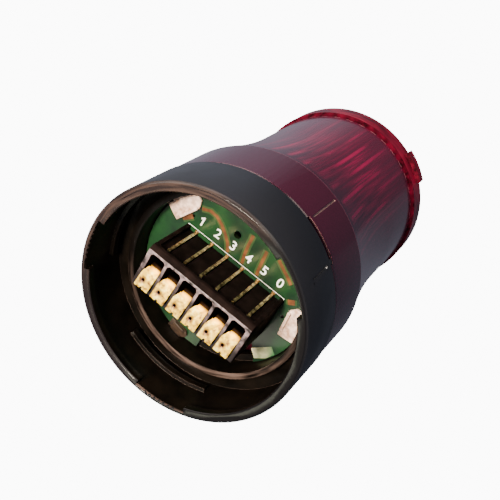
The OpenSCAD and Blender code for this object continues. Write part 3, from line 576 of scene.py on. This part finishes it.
def platedContact():
    look = contactLook
    material, shader = newMaterial("platedSpringBronze", {"Roughness": look["roughness"]})
    place = addNode(material, "TexCoord")["Object"]
    axes = addNode(material, "SeparateXYZ", {0: place})
    cloud = addNode(material, "TexNoise", {"Vector": place, "Scale": perSize(look["stainSize"]),
                                           "Detail": 4.0})[0]
    spots = addNode(material, "MapRange", {"Value": cloud, "From Min": look["stainLimits"][0],
                                           "From Max": look["stainLimits"][1]})[0]
    shine = addNode(material, "MapRange", {"Value": cloud, "From Min": look["paleLimits"][0],
                                           "From Max": look["paleLimits"][1]})[0]
    # x within one pitch, so that one ring of stain falls round each contact's hole
    cell = addNode(material, "Math", {0: axes["X"], 1: look["pitch"] * mm}, operation="FLOORED_MODULO")[0]
    aside = addNode(material, "Math", {0: cell, 1: (look["pitch"] / 2 + look["hole"][0]) * mm},
                    operation="SUBTRACT")[0]
    ahead = addNode(material, "Math", {0: axes["Y"], 1: look["hole"][1] * mm}, operation="SUBTRACT")[0]
    reach = addNode(material, "VectorMath", {0: addNode(material, "CombineXYZ", {0: aside, 1: ahead})[0]},
                    operation="LENGTH")["Value"]
    ring = addNode(material, "MapRange", {"Value": reach, "From Min": look["holeStain"] * mm,
                                          "From Max": look["holeStain"] * look["holeCore"] * mm})[0]
    body = addNode(material, "Mix", {0: shine, 6: look["plate"], 7: look["pale"]}, data_type="RGBA")[2]
    body = addNode(material, "Mix", {0: spots, 6: body, 7: look["stain"]}, data_type="RGBA")[2]
    body = addNode(material, "Mix", {0: ring, 6: body, 7: look["holeTint"]}, data_type="RGBA")[2]
    neck = addNode(material, "MapRange", {"Value": axes["Y"], "From Min": look["neckY"][0] * mm,
                                          "From Max": look["neckY"][1] * mm})[0]
    body = addNode(material, "Mix", {0: neck, 6: body, 7: look["neck"]}, data_type="RGBA")[2]
    # painted shade: below the bend the strip is drawn nearly black, where it lies in the cell's shade
    neckShade = addNode(material, "MapRange", {"Value": axes["Y"], "From Min": look["neckShadeFrom"] * mm,
                                          "From Max": (look["neckShadeFrom"] - look["neckShadeLong"]) * mm})[0]
    body = addNode(material, "Mix", {0: neckShade, 6: body, 7: look["neckShade"]}, data_type="RGBA")[2]
    flecks = addNode(material, "MapRange", {"Value": cloud, "From Min": look["legLimits"][0],
                                            "From Max": look["legLimits"][1]})[0]
    strip = addNode(material, "Mix", {0: flecks, 6: look["leg"], 7: look["legDark"]}, data_type="RGBA")[2]
    leg = addNode(material, "MapRange", {"Value": axes["Y"], "From Min": look["legY"][0] * mm,
                                         "From Max": look["legY"][1] * mm})[0]
    body = addNode(material, "Mix", {0: leg, 6: body, 7: strip}, data_type="RGBA")[2]
    dent = addNode(material, "Math", {0: cloud, 1: ring}, operation="SUBTRACT")[0]
    bump = addNode(material, "Bump", {"Strength": look["dentStrength"], "Distance": look["dentDepth"] * mm,
                                      "Height": dent})[0]
    metal = addNode(material, "MapRange", {"Value": neck, "To Min": look["metallic"][0],
                                           "To Max": look["metallic"][1]})[0]
    feed(material, shader, {"Base Color": body, "Metallic": metal, "Normal": bump})
    return material


contactMaterial = platedContact()
for digit in digits:
    newPiece("contact_%s_sheet" % digit, softEdged("spring_contact_" + digit, contactLook["edge"]),
             contactMaterial, stands=["spring_contact_" + digit])

# Board clips: tinned steel sheet, bent; bright, pink and mottled, the rear one drawn dark brown
clipLook = {"bright": ("#b48c74", "#ffe0ce", 1.6), "darkBrown": ("#291e17", "#433326", 2.0), "grain": (0.8, 0.02),
            "edge": 0.12}
clipMaterial = cloudy("tinnedSteelSheet", {"Metallic": 0.05, "Roughness": 0.38}, *clipLook["bright"],
                      *clipLook["grain"])
darkBrownMaterial = cloudy("darkBrownSteel", {"Metallic": 0.3, "Roughness": 0.5}, *clipLook["darkBrown"],
                      *clipLook["grain"])
for side, sheet in (("left", clipMaterial), ("right", clipMaterial), ("rear", darkBrownMaterial)):
    newPiece("board_clip_%s_sheet" % side, softEdged("board_clip_" + side, clipLook["edge"]), sheet,
             stands=["board_clip_" + side])
print("board, block, contacts and clips dressed")

# White screen ink printed on the board, matt: one line and the row's numbers
ink = {"tones": ("#f2efe6", "#ffffff", 0.8), "lineY": -6.45, "lineHalf": 15.8, "lineWidth": 0.11, "tick": 0.5,
       "digitY": -9.3, "digitHeight": 2.6, "capShare": 0.70, "bold": 0.02, "pitch": 5.08,
       "flag": (0.85, 0.42, 35), "flagAt": (0.42, 0.36), "face": 19.5, "thick": 0.03}
inkMaterial = cloudy("whiteScreenInk", {"Roughness": 0.6}, *ink["tones"])


def addBar(bm, x, y, width, height, degrees=0.0):  # flat bar of ink on the board's mouth face
    made = bmesh.ops.create_cube(bm, size=1)["verts"]
    bmesh.ops.scale(bm, verts=made, vec=(width * mm, height * mm, ink["thick"] * mm))
    bmesh.ops.rotate(bm, verts=made, matrix=Matrix.Rotation(math.radians(degrees), 3, "Z"))
    bmesh.ops.translate(bm, verts=made, vec=(x * mm, y * mm, (ink["face"] - ink["thick"] / 2) * mm))


bm = bmesh.new()
addBar(bm, 0, ink["lineY"], 2 * ink["lineHalf"], ink["lineWidth"])
for end in (-1, 1):
    addBar(bm, end * (ink["lineHalf"] - ink["lineWidth"] / 2),
           ink["lineY"] + (ink["lineWidth"] + ink["tick"]) / 2, ink["lineWidth"], ink["tick"])
newPiece("board_line_ink", bm, inkMaterial)

bm = bmesh.new()
for i, digit in enumerate(digits):
    words = bpy.data.curves.new("digit", "FONT")
    words.body = digit
    words.size = ink["digitHeight"] / ink["capShare"] * mm
    words.offset = ink["bold"] * ink["digitHeight"] * mm
    words.extrude = ink["thick"] / 2 * mm
    words.align_x, words.align_y = "CENTER", "CENTER"
    words.resolution_u = 6
    carrier = bpy.data.objects.new("digit", words)
    bpy.context.scene.collection.objects.link(carrier)
    bpy.context.view_layer.update()
    flatMesh = bpy.data.meshes.new_from_object(carrier)
    x = (i - rowMiddle) * ink["pitch"]
    spot = Vector((x, ink["digitY"], ink["face"] - ink["thick"] / 2)) * mm
    flatMesh.transform(Matrix.Translation(spot) @ Matrix.Rotation(math.pi, 4, "X"))
    bm.from_mesh(flatMesh)
    bpy.data.objects.remove(carrier)
    bpy.data.curves.remove(words)
    bpy.data.meshes.remove(flatMesh)
    if digit == "1":  # the flag of the numeral
        long, thick, lean = ink["flag"]
        addBar(bm, x - long * ink["flagAt"][0], ink["digitY"] - ink["digitHeight"] * ink["flagAt"][1],
               long, thick, -lean)
bmesh.ops.remove_doubles(bm, verts=bm.verts, dist=mergeGap * mm)
newPiece("board_digits_ink", bm, inkMaterial)

# Copper tracks under thin mask: orange brown with soft patches, and olive along their edges where the mask is
# thicker
trackLook = {
    "copper": ("#4c2c16", "#744624", 2.0), "edge": ("#203a1a", "#32421e", 2.0), "spread": 1.0,
    "thick": 0.02, "face": 19.5,
    "paths": {
        "overOne": (0.9, [(-14.6, -12.4), (-12.4, -13.4), (-10.3, -13.4), (-8.0, -12.3), (-5.8, -10.6),
                          (-4.4, -9.2), (-3.0, -6.9)]),
        "overThree": (0.9, [(0.4, -15.6), (0.7, -11.8), (1.1, -9.3), (1.7, -6.9)]),
        "overFour": (0.9, [(5.5, -14.4), (5.9, -10.8), (6.2, -8.3), (6.6, -6.9)]),
        "atEdge": (0.9, [(9.2, -14.6), (11.2, -13.4), (13.4, -12.2), (15.2, -11.0)]),
        "byRightClip": (2.0, [(17.4, -7.6), (18.2, -6.4)]),
        "byLeftClip": (1.6, [(-18.0, -6.6), (-15.8, -9.0)]),
    },
}
trackMaterial = cloudy("maskedCopperTrack", {"Roughness": 0.4, "Metallic": 0.2}, *trackLook["copper"])


def addTrack(bm, points, width):  # an edge across the track, extruded from point to point
    line = [Vector((x, y, trackLook["face"])) * mm for x, y in points]
    ways = [b - a for a, b in zip(line, line[1:])]
    ways.append(ways[-1])
    cross = ways[0].normalized().cross(Vector((0, 0, width / 2 * mm)))
    front = [bm.verts.new(line[0] - cross), bm.verts.new(line[0] + cross)]
    made = [bm.edges.new(front)]
    for i in range(1, len(line)):
        grown = bmesh.ops.extrude_edge_only(bm, edges=made)["geom"]
        front = [g for g in grown if isinstance(g, bmesh.types.BMVert)]
        made = [g for g in grown if isinstance(g, bmesh.types.BMEdge) and all(v in front for v in g.verts)]
        bmesh.ops.translate(bm, verts=front, vec=ways[i - 1])
        bend = ways[i - 1].xy.angle_signed(ways[i].xy)
        bmesh.ops.rotate(bm, verts=front, cent=line[i], matrix=Matrix.Rotation(-bend, 3, "Z"))


def thicken(bm, faces, depth):  # raise flat faces off the board, towards the mouth
    grown = bmesh.ops.extrude_face_region(bm, geom=faces)["geom"]
    raised = [g for g in grown if isinstance(g, bmesh.types.BMVert)]
    bmesh.ops.translate(bm, verts=raised, vec=(0, 0, -depth * mm))


edgeMaterial = cloudy("maskedTrackEdge", {"Roughness": 0.35}, *trackLook["edge"])
for name, material, spread, layers in (("board_tracks_edge", edgeMaterial, trackLook["spread"], 1),
                                       ("board_tracks_copper", trackMaterial, 0.0, 2)):
    bm = bmesh.new()
    for width, points in trackLook["paths"].values():
        addTrack(bm, points, width + spread)
    thicken(bm, list(bm.faces), layers * trackLook["thick"])
    bmesh.ops.recalc_face_normals(bm, faces=bm.faces)
    newPiece(name, bm, material)

# Bare corner of the board beside the cut-out: tinned copper, with the mask worn thin towards the clip
bareLook = {"tones": ("#2a5c34", "#fff6c4", 5.0), "thick": 0.025, "face": 19.5,
            "fade": {"way": (-0.65, 0.76, 0.0), "none": -7.5, "full": -2.5},
            "corner": [(15.9, 12.2), (20.2, 7.6), (22.0, 9.2), (20.6, 11.8), (18.1, 14.2)]}
bareMaterial = cloudy("bareTinnedCopper", {"Roughness": 0.45}, *bareLook["tones"], fade=bareLook["fade"])
bm = bmesh.new()
bm.faces.new([bm.verts.new(Vector((x, y, bareLook["face"])) * mm) for x, y in bareLook["corner"]])
thicken(bm, list(bm.faces), bareLook["thick"])
bmesh.ops.recalc_face_normals(bm, faces=bm.faces)
newPiece("board_bare_copper", bm, bareMaterial)

# Solder at the foot of each leg: small fillets, browned by flux
solderLook = {"tones": ("#5a4022", "#8a6a3c", 0.9), "y": -5.78, "wide": 0.62, "top": 0.36, "rise": 0.34,
              "round": 20, "edge": 0.08, "edgeAngle": 35, "face": 19.5}
solderMaterial = cloudy("fluxedSolder", {"Roughness": 0.35, "Metallic": 0.6}, *solderLook["tones"])
bm = bmesh.new()
for i in range(len(digits)):
    foot = bmesh.ops.create_cone(bm, cap_ends=True, segments=solderLook["round"],
                                 radius1=solderLook["wide"] * mm, radius2=solderLook["top"] * mm,
                                 depth=solderLook["rise"] * mm)["verts"]
    bmesh.ops.rotate(bm, verts=foot, matrix=Matrix.Rotation(math.pi, 3, "X"))
    bmesh.ops.translate(bm, verts=foot, vec=Vector(((i - rowMiddle) * ink["pitch"], solderLook["y"],
                                                    solderLook["face"] - solderLook["rise"] / 2)) * mm)
rounded = [e for e in bm.edges if e.calc_face_angle() > math.radians(solderLook["edgeAngle"])]
bmesh.ops.bevel(bm, geom=rounded, offset=solderLook["edge"] * mm, segments=2, profile=0.5, affect="EDGES",
                material=-1)
newPiece("board_solder_feet", bm, solderMaterial)
print("ink, tracks and solder drawn")

# Inner pieces, seen dimly through the lens and at the crown, each in its usual material: two tones with the
# size of their patches, then the grain's size and height
innerLooks = {
    # moulded, matt and nearly black
    "nitrileRubber": {"finish": {"Roughness": 0.75}, "tones": ("#141414", "#1e1e1e", 2.0),
                      "grain": (0.3, 0.02), "on": ["seal_ring"]},
    # moulded, off-white and half matt
    "whitePolycarbonate": {"finish": {"Roughness": 0.5}, "tones": ("#dcd8cd", "#ece9e0", 5.0),
                           "grain": (0.5, 0.01), "on": ["left_post", "right_post"]},
    # stamped, warm yellow metal
    "stampedBrass": {"finish": {"Metallic": 1.0, "Roughness": 0.3}, "tones": ("#b98b3e", "#d6ae62", 1.5),
                     "grain": (0.5, 0.01), "on": ["line_bar_" + digit for digit in digits]},
    # turned, bright grey metal
    "turnedAluminium": {"finish": {"Metallic": 1.0, "Roughness": 0.3}, "tones": ("#b4b6ba", "#cfd1d4", 0.6),
                        "grain": (), "on": ["tube_spacers"]},
    # pressed and fired, cream and matt
    "steatiteCeramic": {"finish": {"Roughness": 0.65}, "tones": ("#e6e1d4", "#f2eee4", 1.0),
                        "grain": (0.4, 0.01), "on": ["tube_socket"]},
    # drawn, clear and glossy
    "quartzGlass": {"finish": {"Roughness": 0.03, "IOR": 1.46, "Transmission Weight": 1.0},
                    "tones": ("#f2f7f8", "#ffffff", 8.0), "grain": (), "on": ["flash_tube"]},
    # wound, red brown under a gloss coat
    "enamelledCopperWire": {"finish": {"Roughness": 0.3, "Coat Weight": 0.5},
                            "tones": ("#7a2f14", "#a34a20", 0.5), "grain": (0.3, 0.1),
                            "on": ["trigger_coil", "transformer_winding"]},
    # shrunk film, dark blue and glossy
    "shrinkSleeve": {"finish": {"Roughness": 0.3}, "tones": ("#1b2440", "#26325a", 4.0),
                     "grain": (1.0, 0.01), "on": ["storage_capacitor"]},
    # pressed and sintered, dull dark grey
    "sinteredFerrite": {"finish": {"Roughness": 0.55}, "tones": ("#2c2c2e", "#3a3a3d", 0.8),
                        "grain": (0.4, 0.02), "on": ["transformer_core"]},
    # dipped, tan and half gloss
    "resistorLacquer": {"finish": {"Roughness": 0.4}, "tones": ("#b89a68", "#cbb184", 1.5),
                        "grain": (0.5, 0.01), "on": ["resistors"]},
}
for name, look in innerLooks.items():
    dress(cloudy(name, look["finish"], *look["tones"], *look["grain"]), *look["on"])
print("inner pieces dressed")
